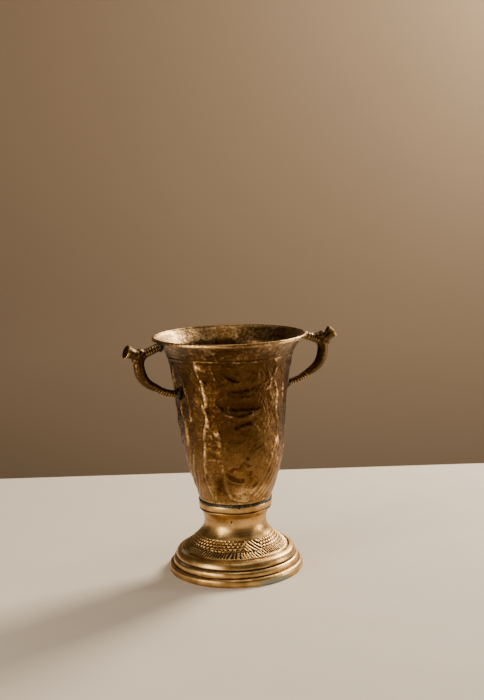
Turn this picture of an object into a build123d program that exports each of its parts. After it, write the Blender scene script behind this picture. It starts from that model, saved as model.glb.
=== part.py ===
from build123d import *

import math
import os

# A small footed brass vase with two side handles. The beaten cup, the turned foot,
# the plinth ring and the two cast handles are separate pieces, held together only by
# solder, which is modelled as pieces of its own.
# Millimetres, +Z up. The origin is the centre of the underside, on the table.
# The handles lie close to the X axis, and the front of the vase faces -Y.

# ---- Driving dimensions ---------------------------------------------------------
overall_height = 150.0
rim_radius = 48.3  # over the bead of the lip
base_radius = 42.7  # lowest step of the plinth
wall = 1.6  # beaten sheet of the cup
foot_wall = 2.2  # cast and turned foot
lip_height = 2.3
lip_width = 1.9
lip_edge = 0.3  # small flat under the bead of the lip

# ---- Heights of the soldered stack ----------------------------------------------
plinth_step_height = 5.0
plinth_top = 8.8
plinth_solder = 0.5
dome_bottom = plinth_top + plinth_solder
ledge_height = 14.2
collar_top = 44.8
cup_solder = 1.4
cup_bottom = collar_top + cup_solder
spigot_depth = 0.8  # how far the cup's spigot sinks into the collar
lip_bottom = overall_height - lip_height

# ---- Radii ----------------------------------------------------------------------
plinth_step_radius = 40.0
plinth_bore = 35.8
dome_radius = 38.2
plinth_solder_radius = 38.4  # the seam squeezed out a little past the foot
ledge_radius = 33.4
waist_radius = 19.7
waist_height = 31.0
collar_radius = 23.3
spigot_radius = 20.3
cup_bottom_radius = 22.9

# Outer line of the cup, from the solder seam to the underside of the lip: (radius, height).
cup_outline = [
    (cup_bottom_radius, cup_bottom),
    (24.3, 50.0),
    (27.6, 60.0),
    (30.4, 70.0),
    (33.4, 90.0),
    (35.3, 110.0),
    (37.2, 125.0),
    (40.0, 138.7),
    (43.1, 144.2),
    (rim_radius - lip_width, lip_bottom),
]
floor_top = cup_bottom + 2.2  # inside floor of the cup
heel_height = 3.6  # rounded corner between that floor and the wall
scribe_height = 138.7  # incised line under the plain band below the lip
scribe_radius = 40.0
scribe_depth = 0.5

# Turned lines of the foot: (radius, height).
step_round = [(dome_radius, dome_bottom), (37.1, 12.5), (34.2, ledge_height)]
cone = [
    (ledge_radius, ledge_height - 0.2),
    (30.4, 17.0),
    (26.9, 20.0),
    (21.4, 26.0),
    (waist_radius, waist_height),
    (20.6, 36.0),
    (22.3, 39.0),
]
collar_bead = [(22.3, 39.0), (22.9, 39.6), (22.7, 40.4), (collar_radius, 41.0)]
cavity = [
    (waist_radius - foot_wall, waist_height),
    (20.9, 22.9),
    (27.2, 15.6),
    (32.6, 11.6),
    (plinth_bore, dome_bottom),
]
plinth_top_edge = 1.4  # both upper edges are worn round
plinth_foot_edge = 0.5

# ---- Solder seam round the cup's foot -------------------------------------------
seam_bulge = 0.5
drop_azimuth = -101.0  # one drop ran down the front
drop_height = 44.4
drop_radius = 1.5
drop_depth = 0.9

# ---- Handles --------------------------------------------------------------------
# One casting, soldered on by eye: azimuth in degrees and rise of the spur above level.
handle_settings = {"left": (184.0, 22.0), "right": (-8.0, 36.0)}
# Centre line of the arm from the lip down to the wall: (radius, height).
handle_route = [(49.3, 146.1), (62.9, 141.2), (60.8, 127.0), (46.3, 118.1), (37.0, 115.7)]
handle_bends = [7.0, 14.0, 22.0]
arm_end_radius = 2.1
arm_elbow_radius = 3.4
arm_elbow_share = 0.41  # part of the arm's length at which it is thickest
arm_elbow_spread = 0.25
arm_section_count = 18
spur_root = (62.0, 142.1)  # where the flared spur leaves the elbow
spur_length = 8.9
spur_neck_radius = 3.3
spur_neck_height = 3.4
spur_flare_radius = 3.9
spur_disc_radius = 4.35
spur_disc_thickness = 1.5
spur_disc_edge = 0.3

# ---- Solder at the handle ends --------------------------------------------------
upper_solder_centre = (48.2, 146.2)
upper_solder_radius = 3.1
lower_solder_start = 34.9  # radius at which the fillet starts, inside the cup's wall
lower_solder_length = 4.1
lower_solder_wide = 3.6
lower_solder_narrow = 2.5


def radial_plane(azimuth):
    """Upright plane through the axis: local x runs outward, local y runs up."""
    turn = math.radians(azimuth)
    return Plane(
        origin=(0, 0, 0),
        x_dir=(math.cos(turn), math.sin(turn), 0),
        z_dir=(math.sin(turn), -math.cos(turn), 0),
    )


def arm_radius(share):
    """Radius of the cast arm at a part of its length: thickest where the spur leaves it."""
    distance = (share - arm_elbow_share) / arm_elbow_spread
    return arm_end_radius + (arm_elbow_radius - arm_end_radius) * math.exp(-(distance**2))


def write(part, name):
    """Label a finished piece and write its STEP file."""
    part.label = name
    export_step(part, f"parts/{name}.step")


os.makedirs("parts", exist_ok=True)

# ---- Cup: beaten sheet, closed at the bottom by a short spigot ------------------
cup_lining = [(radius - wall, height) for radius, height in cup_outline[2:]]
with BuildPart() as vase_body:
    with BuildSketch(Plane.XZ):
        with BuildLine():
            Polyline(
                (0, cup_bottom - cup_solder - spigot_depth),
                (spigot_radius, cup_bottom - cup_solder - spigot_depth),
                (spigot_radius, cup_bottom),
                cup_outline[0],
            )
            Spline(*cup_outline)
            Polyline(
                cup_outline[-1],
                (rim_radius - lip_edge, lip_bottom),
                (rim_radius, lip_bottom + lip_edge),
                (rim_radius, overall_height - lip_width / 2),
            )
            ThreePointArc(
                (rim_radius, overall_height - lip_width / 2),
                (rim_radius - lip_width / 2, overall_height),
                (rim_radius - lip_width, overall_height - lip_width / 2),
            )
            Line(
                (rim_radius - lip_width, overall_height - lip_width / 2),
                cup_lining[-1],
            )
            Spline(*reversed(cup_lining))
            Spline(
                cup_lining[0],
                (cup_bottom_radius - wall, floor_top + heel_height),
                (cup_bottom_radius - wall - heel_height, floor_top),
            )
            Polyline(
                (cup_bottom_radius - wall - heel_height, floor_top),
                (0, floor_top),
                (0, cup_bottom - cup_solder - spigot_depth),
            )
        make_face()
    revolve(axis=Axis.Z)
    with Locations((0, 0, scribe_height)):
        Torus(scribe_radius, scribe_depth, mode=Mode.SUBTRACT)
write(vase_body.part, "vase_body")

# ---- Foot: one casting, turned outside and hollow underneath --------------------
with BuildPart() as foot_dome:
    with BuildSketch(Plane.XZ):
        with BuildLine():
            Line((plinth_bore, dome_bottom), step_round[0])
            ThreePointArc(*step_round)
            Line(step_round[-1], cone[0])
            Spline(*cone)
            Polyline(*collar_bead)
            Polyline(
                collar_bead[-1],
                (collar_radius, collar_top),
                (spigot_radius, collar_top),
                (spigot_radius, collar_top - spigot_depth),
                (0, collar_top - spigot_depth),
                (0, collar_top - spigot_depth - foot_wall),
                (waist_radius - foot_wall, collar_top - spigot_depth - foot_wall),
                cavity[0],
            )
            Spline(*cavity)
        make_face()
    revolve(axis=Axis.Z)
write(foot_dome.part, "foot_dome")

# ---- Plinth: a two-step ring with a flat underside ------------------------------
with BuildPart() as plinth_ring:
    Cylinder(base_radius, plinth_step_height, align=(Align.CENTER, Align.CENTER, Align.MIN))
    fillet(plinth_ring.edges().group_by(Axis.Z)[-1], plinth_top_edge)
    fillet(plinth_ring.edges().group_by(Axis.Z)[0], plinth_foot_edge)
    Cylinder(plinth_step_radius, plinth_top, align=(Align.CENTER, Align.CENTER, Align.MIN))
    fillet(plinth_ring.edges().group_by(Axis.Z)[-1], plinth_top_edge)
    Hole(plinth_bore)
write(plinth_ring.part, "plinth_ring")

# ---- Solder seam between foot and cup, with one drop that ran down the front ----
drop_place = radial_plane(drop_azimuth).from_local_coords((collar_radius, drop_height))
with BuildPart() as solder_cup_seam:
    with BuildSketch(Plane.XZ):
        with BuildLine():
            Polyline(
                (cup_bottom_radius, cup_bottom),
                (spigot_radius, cup_bottom),
                (spigot_radius, collar_top),
                (collar_radius, collar_top),
            )
            ThreePointArc(
                (collar_radius, collar_top),
                (collar_radius + seam_bulge, (collar_top + cup_bottom) / 2),
                (cup_bottom_radius, cup_bottom),
            )
        make_face()
    revolve(axis=Axis.Z)
    with BuildSketch(Plane(origin=drop_place)):
        Circle(drop_radius)
    extrude(amount=drop_depth)
    add(foot_dome.part, mode=Mode.SUBTRACT)
write(solder_cup_seam.part, "solder_cup_seam")

# ---- Solder seam between plinth and foot ----------------------------------------
with BuildPart() as solder_plinth_seam:
    with BuildSketch(Plane.XY.offset(plinth_top)):
        Circle(plinth_solder_radius)
        Circle(plinth_bore, mode=Mode.SUBTRACT)
    extrude(amount=plinth_solder)
write(solder_plinth_seam.part, "solder_plinth_seam")


def build_handle(plane, spur_rise):
    """Tapered cast arm from lip to wall, with a flared spur on its elbow."""
    with BuildLine(plane) as route:
        FilletPolyline(*handle_route, radius=handle_bends)
    centre_line = route.wire()
    normal = plane.z_dir
    rise = math.radians(spur_rise)
    spur_direction = plane.x_dir * math.cos(rise) + plane.y_dir * math.sin(rise)
    root = plane.from_local_coords(spur_root)
    spur_plane = Plane(origin=root, x_dir=spur_direction.cross(normal), z_dir=normal)
    disc_start = spur_length - spur_disc_thickness
    with BuildPart() as handle:
        for section in range(arm_section_count):
            share = section / (arm_section_count - 1)
            point = centre_line.position_at(share)
            tangent = centre_line.tangent_at(share)
            with BuildSketch(Plane(origin=point, x_dir=normal, z_dir=tangent)):
                Circle(arm_radius(share))
        loft()
        with BuildSketch(spur_plane):
            with BuildLine():
                Line((0, 0), (spur_neck_radius, 0))
                Spline(
                    (spur_neck_radius, 0),
                    (spur_neck_radius, spur_neck_height),
                    (spur_flare_radius, disc_start),
                )
                Polyline(
                    (spur_flare_radius, disc_start),
                    (spur_disc_radius, disc_start + spur_disc_edge),
                    (spur_disc_radius, spur_length - spur_disc_edge),
                    (spur_disc_radius - spur_disc_edge, spur_length),
                    (0, spur_length),
                    (0, 0),
                )
            make_face()
        revolve(axis=Axis(root, spur_direction))
    return handle.part


def build_upper_solder(plane, handle):
    """Lump of solder that fills the corner between the lip, its flare and the arm."""
    with BuildPart() as solder:
        with Locations(plane.from_local_coords(upper_solder_centre)):
            Sphere(upper_solder_radius)
        add(vase_body.part, mode=Mode.SUBTRACT)
        add(handle, mode=Mode.SUBTRACT)
    return solder.part


def build_lower_solder(plane, handle):
    """Tapered fillet of solder that grips the end of the arm against the wall."""
    start = plane.from_local_coords((lower_solder_start, handle_route[-1][1]))
    end = start + plane.x_dir * lower_solder_length
    with BuildPart() as solder:
        with BuildSketch(Plane(origin=start, z_dir=plane.x_dir)):
            Circle(lower_solder_wide)
        with BuildSketch(Plane(origin=end, z_dir=plane.x_dir)):
            Circle(lower_solder_narrow)
        loft()
        add(vase_body.part, mode=Mode.SUBTRACT)
        add(handle, mode=Mode.SUBTRACT)
    return solder.part


for side, (azimuth, rise_angle) in handle_settings.items():
    side_plane = radial_plane(azimuth)
    handle_part = build_handle(side_plane, rise_angle)
    write(handle_part, f"handle_{side}")
    write(build_upper_solder(side_plane, handle_part), f"solder_{side}_upper")
    write(build_lower_solder(side_plane, handle_part), f"solder_{side}_lower")
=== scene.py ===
"""Looks of a small footed brass vase with two soldered handles, built around its CAD frame.

Every length in the classes is in millimetres, as a maker would give it, and is turned to metres
only when a mesh is written. Azimuths are degrees about the axis: 0 is +X, -90 is the front.
"""

import logging
import math
from dataclasses import dataclass, field
from enum import Enum
from typing import Any, Sequence

import bpy
import numpy as np
from mathutils import Matrix, Vector, noise


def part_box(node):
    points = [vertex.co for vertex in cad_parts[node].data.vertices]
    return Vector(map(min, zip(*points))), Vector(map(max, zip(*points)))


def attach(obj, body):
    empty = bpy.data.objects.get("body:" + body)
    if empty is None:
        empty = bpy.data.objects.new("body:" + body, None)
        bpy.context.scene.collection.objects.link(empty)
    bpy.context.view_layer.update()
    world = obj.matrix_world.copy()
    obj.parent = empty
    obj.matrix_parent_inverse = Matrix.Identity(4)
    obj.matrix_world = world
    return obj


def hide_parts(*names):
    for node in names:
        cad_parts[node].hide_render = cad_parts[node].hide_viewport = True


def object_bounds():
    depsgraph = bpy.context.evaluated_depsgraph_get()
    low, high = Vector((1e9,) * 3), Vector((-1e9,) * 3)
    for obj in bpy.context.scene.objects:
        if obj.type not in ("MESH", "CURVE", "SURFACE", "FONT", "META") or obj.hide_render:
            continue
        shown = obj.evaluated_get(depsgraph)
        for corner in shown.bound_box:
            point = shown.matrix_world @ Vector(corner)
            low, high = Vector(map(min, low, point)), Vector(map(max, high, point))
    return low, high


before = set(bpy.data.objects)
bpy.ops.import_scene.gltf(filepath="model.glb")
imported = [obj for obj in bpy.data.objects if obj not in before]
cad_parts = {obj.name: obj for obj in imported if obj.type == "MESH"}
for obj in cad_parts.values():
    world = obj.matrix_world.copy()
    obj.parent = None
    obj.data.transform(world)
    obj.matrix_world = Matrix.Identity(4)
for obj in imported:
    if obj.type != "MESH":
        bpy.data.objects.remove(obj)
CAD_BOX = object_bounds()
MM = 0.001
BODY = "root"
log = logging.getLogger("vase")

# The cup was soldered to the foot a little out of true: height and drift, millimetres.
STACK_LEAN = (
    (20.0, 0.0), (33.0, 0.3), (45.0, 0.7), (52.0, 1.0), (60.0, 1.1), (70.0, 0.8), (78.0, 0.4), (95.0, 0.0),
)
LEAN_AZIMUTH = -25.0
SPLINE_CUTS = 40  # pieces that each span of a smooth line is first cut into

Point2 = tuple[float, float]
Point3 = tuple[float, float, float]
Colour = tuple[float, float, float, float]


class Slot(Enum):
    """The record's material slots."""

    BEATEN = "beaten_brass"
    TURNED = "turned_brass"
    CAST = "cast_brass"
    SOLDER = "solder"


class Side(Enum):
    """Which handle: its name and its azimuth in degrees."""

    LEFT = ("left", 184.0)
    RIGHT = ("right", -8.0)

    @property
    def label(self) -> str:
        """Name used in the pieces' names."""
        return self.value[0]

    @property
    def azimuth(self) -> float:
        """Azimuth of the handle in degrees."""
        return self.value[1]


# ---- Small tools shared by every piece -------------------------------------------------------


def linear(hex_colour: str) -> Colour:
    """Turn an sRGB hex colour to the linear values that a shader takes.

    Args:
        hex_colour: Six hex digits, with or without a leading hash.

    Returns:
        Linear red, green, blue and an alpha of 1.
    """
    digits = hex_colour.lstrip("#")
    channels = [int(digits[i : i + 2], 16) / 255 for i in (0, 2, 4)]
    rgb = [c / 12.92 if c <= 0.04045 else ((c + 0.055) / 1.055) ** 2.4 for c in channels]
    return (rgb[0], rgb[1], rgb[2], 1.0)


def per_metre(size_mm: float) -> float:
    """Texture scale that makes one cell of a pattern this many millimetres."""
    return 1.0 / (size_mm * MM)


def smooth_line(points: Sequence[Point2], step: float) -> np.ndarray:
    """Draw a smooth curve through a few points and cut it into even steps.

    Args:
        points: Radius and height of each point, in millimetres.
        step: Distance between the samples, in millimetres.

    Returns:
        An array of radius and height rows, both ends included.
    """
    knots = np.array(points, float)
    before = 2 * knots[0] - knots[1]
    after = 2 * knots[-1] - knots[-2]
    padded = np.vstack([before, knots, after])
    dense = []
    for a, b, c, d in zip(padded, padded[1:], padded[2:], padded[3:]):
        t = np.linspace(0, 1, SPLINE_CUTS, endpoint=False)[:, None]
        squared = (2 * a - 5 * b + 4 * c - d) * t**2
        cubed = (3 * b - a - 3 * c + d) * t**3
        dense.append(0.5 * (2 * b + (c - a) * t + squared + cubed))
    line = np.vstack([*dense, knots[-1:]])
    return resample(line, step)


def resample(line: np.ndarray, step: float) -> np.ndarray:
    """Cut a polyline into even steps.

    Args:
        line: Rows of coordinates along the line.
        step: Wanted distance between samples.

    Returns:
        Rows at even distances, both ends kept.
    """
    run = np.concatenate([[0.0], np.cumsum(np.linalg.norm(np.diff(line, axis=0), axis=1))])
    count = max(2, int(round(run[-1] / step)) + 1)
    at = np.linspace(0, run[-1], count)
    return np.column_stack([np.interp(at, run, line[:, k]) for k in range(line.shape[1])])


def bend(centre: Point2, radius: float, start: float, end: float, count: int) -> np.ndarray:
    """Points of a round edge in the profile plane.

    Args:
        centre: Radius and height of the arc's centre.
        radius: Radius of the arc.
        start: First angle in degrees, 0 pointing outward and 90 up.
        end: Last angle in degrees.
        count: How many points.

    Returns:
        Rows of radius and height.
    """
    angles = np.radians(np.linspace(start, end, count))
    return np.column_stack([centre[0] + radius * np.cos(angles), centre[1] + radius * np.sin(angles)])


def profile_normals(profile: np.ndarray) -> np.ndarray:
    """Unit normals of a profile, pointing to the right of its direction of travel.

    Args:
        profile: Rows of radius and height.

    Returns:
        One normal for each row.
    """
    along = np.gradient(profile, axis=0)
    along /= np.maximum(np.linalg.norm(along, axis=1, keepdims=True), 1e-9)
    return np.column_stack([along[:, 1], -along[:, 0]])


def lathe(profile: np.ndarray, columns: int, lift: np.ndarray | None = None) -> np.ndarray:
    """Turn a profile about the axis.

    Args:
        profile: Rows of radius and height, in millimetres, going up the outside.
        columns: Number of steps round the axis.
        lift: Height of the relief along the outward normal, one row for each profile point
            and one column for each step round, or None for a plain surface.

    Returns:
        Points as an array of rows, columns and coordinates.
    """
    turn = np.radians(azimuths(columns))
    radius = np.repeat(profile[:, :1], columns, axis=1)
    height = np.repeat(profile[:, 1:2], columns, axis=1)
    if lift is not None:
        normals = profile_normals(profile)
        radius = radius + normals[:, :1] * lift
        height = height + normals[:, 1:2] * lift
    return np.dstack([radius * np.cos(turn), radius * np.sin(turn), height])


def azimuths(columns: int) -> np.ndarray:
    """Azimuth of each column in degrees, starting and ending at the back of the vase."""
    return -270.0 + 360.0 * np.arange(columns) / columns


def grain(points: np.ndarray, size: float, octaves: int, seed: float) -> np.ndarray:
    """Soft natural noise at each point of a surface.

    Args:
        points: Array whose last axis is x, y and z in millimetres.
        size: Size of the largest lumps in millimetres.
        octaves: How many times finer detail is added.
        seed: Offset that makes one surface unlike another.

    Returns:
        Values of about -1 to 1, in the shape of the points without their last axis.
    """
    flat = points.reshape(-1, 3) / size + seed
    values = [noise.fractal(Vector(p), 0.9, 2.0, octaves) for p in flat]
    return np.array(values).reshape(points.shape[:-1])


def apart(points: np.ndarray, azimuth: float) -> np.ndarray:
    """How far each point lies round the axis from an azimuth.

    Args:
        points: Array whose last axis is x, y and z.
        azimuth: The azimuth in degrees.

    Returns:
        Degrees from -180 to 180, in the shape of the points without their last axis.
    """
    turn = np.degrees(np.arctan2(points[..., 1], points[..., 0]))
    return (turn - azimuth + 180.0) % 360.0 - 180.0


def leaned(points: np.ndarray) -> np.ndarray:
    """Move the soldered stack off the axis by as much as it was joined out of true.

    Args:
        points: Array whose last axis is x, y and z in millimetres.

    Returns:
        The moved points.
    """
    heights, drift = np.array(STACK_LEAN).T
    moved = points.copy()
    away = np.interp(points[..., 2], heights, drift)
    turn = math.radians(LEAN_AZIMUTH)
    moved[..., 0] += away * math.cos(turn)
    moved[..., 1] += away * math.sin(turn)
    return moved


def turned_to(azimuth: float, local: np.ndarray) -> np.ndarray:
    """Turn outward, sideways and upward distances to the frame's x, y and z.

    Args:
        azimuth: Azimuth of the outward direction in degrees.
        local: Array whose last axis is outward, sideways and upward millimetres.

    Returns:
        The same array as x, y and z.
    """
    turn = math.radians(azimuth)
    out, aside = np.array([math.cos(turn), math.sin(turn)]), np.array([-math.sin(turn), math.cos(turn)])
    flat = local[..., :1] * out + local[..., 1:2] * aside
    return np.concatenate([flat, local[..., 2:3]], axis=-1)


def unit_ball(rows: int, columns: int, pole: float) -> np.ndarray:
    """Rings of a ball of radius 1, from its lower to its upper end.

    Args:
        rows: Number of rings.
        columns: Points in each ring.
        pole: Angle in radians that the end rings keep from the poles.

    Returns:
        Points as rings, columns and coordinates.
    """
    polar = np.linspace(pole, np.pi - pole, rows)[:, None]
    around = np.linspace(0, 2 * np.pi, columns, endpoint=False)[None, :]
    level = np.sin(polar)
    return np.dstack([level * np.cos(around), level * np.sin(around), -np.cos(polar) + 0 * around])


def neighbour_mean(values: np.ndarray, pairs: np.ndarray) -> np.ndarray:
    """Mean of each point's neighbours.

    Args:
        values: One row for each point.
        pairs: Ends of each edge.

    Returns:
        One row for each point.
    """
    count = len(values)
    own = np.concatenate([pairs[:, 0], pairs[:, 1]])
    other = np.concatenate([pairs[:, 1], pairs[:, 0]])
    degree = np.maximum(np.bincount(own, minlength=count), 1)
    columns = [np.bincount(own, values[other, k], count) / degree for k in range(values.shape[1])]
    return np.column_stack(columns)


def softened(lift: np.ndarray, rows: int, columns: int) -> np.ndarray:
    """Blur a relief, as years of polishing do, round the axis and up the wall.

    Args:
        lift: Relief for each row and column.
        rows: Half width of the blur in rows.
        columns: Half width of the blur in columns.

    Returns:
        The blurred relief.
    """
    made = lift
    for axis, half in ((0, rows), (1, columns)):
        weights = np.exp(-2.0 * (np.arange(-half, half + 1) / half) ** 2)
        shifted = [w * np.roll(made, k - half, axis=axis) for k, w in enumerate(weights)]
        made = sum(shifted) / weights.sum()
    return made


@dataclass
class Shell:
    """Closed mesh made from rings of points."""

    name: str
    rings: np.ndarray
    capped: bool
    attributes: dict[str, np.ndarray] = field(default_factory=dict)

    def faces(self) -> list[tuple[int, ...]]:
        """Quads between neighbouring rings, and a fan at each end or a join from last to first.

        Returns:
            Vertex indices of each face, wound so that the normals point outward.
        """
        rows, columns = self.rings.shape[:2]
        index = np.arange(rows * columns).reshape(rows, columns)
        upper = np.roll(index, -1, axis=0) if not self.capped else index[1:]
        lower = index if not self.capped else index[:-1]
        quads = np.stack(
            [lower, np.roll(lower, -1, axis=1), np.roll(upper, -1, axis=1), upper], axis=-1
        ).reshape(-1, 4)
        made = [tuple(q) for q in quads.tolist()]
        if self.capped:
            foot, top = rows * columns, rows * columns + 1
            for i in range(columns):
                j = (i + 1) % columns
                made.append((foot, int(index[0, j]), int(index[0, i])))
                made.append((top, int(index[-1, i]), int(index[-1, j])))
        return made

    def build(self) -> bpy.types.Object:
        """Write the mesh, in metres, with its attributes and smooth shading.

        Returns:
            The new object, at the origin of the frame.
        """
        points = self.rings.reshape(-1, 3)
        extra = [self.rings[0].mean(axis=0), self.rings[-1].mean(axis=0)] if self.capped else []
        if extra:
            points = np.vstack([points, extra])
        mesh = bpy.data.meshes.new(self.name)
        mesh.from_pydata((points * MM).tolist(), [], self.faces())
        mesh.polygons.foreach_set("use_smooth", [True] * len(mesh.polygons))
        for label, values in self.attributes.items():
            flat = np.concatenate([values.reshape(-1), np.zeros(len(extra))]).astype(np.float32)
            mesh.attributes.new(label, "FLOAT", "POINT").data.foreach_set("value", flat)
        mesh.update()
        made = bpy.data.objects.new(self.name, mesh)
        bpy.context.scene.collection.objects.link(made)
        return made


def seat(piece: bpy.types.Object, node: str, finish: bpy.types.Material) -> None:
    """Dress a finished piece and let it stand for its CAD node.

    Args:
        piece: The object to place.
        node: Name of the CAD node that it replaces.
        finish: The material to wear.
    """
    piece.data.materials.clear()
    piece.data.materials.append(finish)
    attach(piece, BODY)
    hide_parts(node)
    log.info("%s: %d faces", piece.name, len(piece.data.polygons))


# ---- Chased ornament -------------------------------------------------------------------------


@dataclass(frozen=True)
class Developed:
    """A strip of turned surface rolled out flat, where ornament is drawn in millimetres."""

    azimuth: np.ndarray  # one value for each column, degrees
    height: np.ndarray  # one value for each row
    radius: np.ndarray  # one value for each row

    def offset(self, centre: Point2) -> tuple[np.ndarray, np.ndarray]:
        """Distances round and up from a centre given as azimuth and height.

        Args:
            centre: Azimuth in degrees and height in millimetres.

        Returns:
            Millimetres round the surface, and millimetres up it, for each row and column.
        """
        turn = np.radians((self.azimuth - centre[0] + 180.0) % 360.0 - 180.0)
        round_ = turn[None, :] * self.radius[:, None]
        return round_, np.repeat(self.height[:, None] - centre[1], self.azimuth.size, axis=1)

    def window(self, first: float, last: float) -> tuple["Developed", np.ndarray]:
        """The columns between two azimuths, so that a mark is only worked out near itself.

        Args:
            first: Lower azimuth in degrees.
            last: Higher azimuth in degrees.

        Returns:
            The narrower strip, and which columns it holds.
        """
        middle, half = 0.5 * (first + last), 0.5 * (last - first)
        inside = np.abs((self.azimuth - middle + 180.0) % 360.0 - 180.0) <= half
        return Developed(self.azimuth[inside], self.height, self.radius), inside


def bell(distance: np.ndarray, width: float | np.ndarray) -> np.ndarray:
    """Rounded hump that is 1 on the line and fades out over about one width."""
    return np.exp(-((distance / (0.5 * width)) ** 2))


@dataclass(frozen=True)
class Stroke:
    """A line pushed up from behind (rise > 0) or sunk with a liner punch (rise < 0).

    A far width makes the side to the left of the stroke's direction slope more gently.
    """

    points: tuple[Point2, ...]
    width: float
    rise: float
    far_width: float = 0.0
    step: float = 2.2

    def moved(self, turn: float, up: float, scale: float) -> "Stroke":
        """The same stroke further round, higher and stronger."""
        points = tuple((azimuth + turn, height + up) for azimuth, height in self.points)
        return Stroke(points, self.width, self.rise * scale, self.far_width)

    def span(self) -> Point2:
        """Lowest and highest azimuth that the stroke reaches.

        Returns:
            Two azimuths in degrees.
        """
        turns = [azimuth for azimuth, _ in self.points]
        margin = 3.0 * max(self.width, self.far_width) + 2.0
        return min(turns) - margin, max(turns) + margin

    def lift(self, sheet: Developed) -> np.ndarray:
        """Height of the stroke at each point of the surface.

        Args:
            sheet: The surface to draw on.

        Returns:
            Relief in millimetres.
        """
        line = smooth_line(self.points, self.step)
        shape = (sheet.height.size, sheet.azimuth.size)
        nearest = np.full(shape, 1e6)
        left = np.zeros(shape, bool)
        for here, there in zip(line, line[1:]):
            x, y = sheet.offset((here[0], here[1]))
            step_x = math.radians(there[0] - here[0]) * sheet.radius[:, None]
            step_y = there[1] - here[1]
            share = np.clip((x * step_x + y * step_y) / (step_x**2 + step_y**2 + 1e-6), 0, 1)
            away = np.hypot(x - share * step_x, y - share * step_y)
            closer = away < nearest
            nearest = np.where(closer, away, nearest)
            left = np.where(closer, step_x * y - step_y * x > 0, left)
        width = np.where(left, self.far_width or self.width, self.width)
        return self.rise * bell(nearest, width)


@dataclass(frozen=True)
class Leaf:
    """A leaf or crescent: an oval patch, bent along its length, raised or hollowed."""

    centre: Point2
    length: float
    width: float
    tilt: float
    rise: float
    bow: float = 0.0
    veins: float = 0.0  # pitch of the veins, 0 for none
    vein_depth: float = 0.26
    midrib_depth: float = 0.3
    midrib_width: float = 0.9

    def moved(self, turn: float, up: float, scale: float) -> "Leaf":
        """The same leaf further round, higher and stronger."""
        centre = (self.centre[0] + turn, self.centre[1] + up)
        return Leaf(centre, self.length, self.width, self.tilt, self.rise * scale, self.bow, self.veins)

    def span(self) -> Point2:
        """Lowest and highest azimuth that the leaf reaches."""
        reach = 1.4 * max(self.length, self.width) + 2.0
        return self.centre[0] - reach, self.centre[0] + reach

    def lift(self, sheet: Developed) -> np.ndarray:
        """Height of the leaf at each point of the surface.

        Args:
            sheet: The surface to draw on.

        Returns:
            Relief in millimetres.
        """
        x, y = sheet.offset(self.centre)
        lean = math.radians(self.tilt)
        along = x * math.cos(lean) + y * math.sin(lean)
        across = y * math.cos(lean) - x * math.sin(lean)
        reach = along / (0.5 * self.length)
        across = across - self.bow * reach**2
        inside = np.clip(1.0 - reach**2 - (across / (0.5 * self.width)) ** 2, 0, 1)
        body = inside * inside * (3 - 2 * inside)
        made = self.rise * body
        if self.veins:
            # veins run out from the midrib, swept towards the tip
            phase = (along - np.abs(across) * 0.9) / self.veins
            made = made - self.vein_depth * body**0.5 * (0.5 + 0.5 * np.cos(2 * np.pi * phase)) ** 3
            made = made - self.midrib_depth * bell(across, self.midrib_width) * (inside > 0)
        return made


@dataclass(frozen=True)
class Hatching:
    """Rows of short graver cuts that fill an oval patch."""

    centre: Point2
    length: float
    width: float
    tilt: float
    pitch: float
    depth: float

    def moved(self, turn: float, up: float, scale: float) -> "Hatching":
        """The same patch further round, higher and deeper."""
        centre = (self.centre[0] + turn, self.centre[1] + up)
        return Hatching(centre, self.length, self.width, self.tilt, self.pitch, self.depth * scale)

    def span(self) -> Point2:
        """Lowest and highest azimuth that the patch reaches."""
        return self.centre[0] - 1.4 * self.length, self.centre[0] + 1.4 * self.length

    def lift(self, sheet: Developed) -> np.ndarray:
        """Depth of the cuts at each point of the surface.

        Args:
            sheet: The surface to draw on.

        Returns:
            Relief in millimetres, never above zero.
        """
        x, y = sheet.offset(self.centre)
        inside = np.clip(1.0 - (2 * x / self.length) ** 2 - (2 * y / self.width) ** 2, 0, 1) ** 0.5
        lean = math.radians(self.tilt)
        across = y * math.cos(lean) - x * math.sin(lean)
        wave = 0.5 + 0.5 * np.cos(2 * np.pi * across / self.pitch)
        return -self.depth * inside * wave**2


Mark = Stroke | Leaf | Hatching


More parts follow.
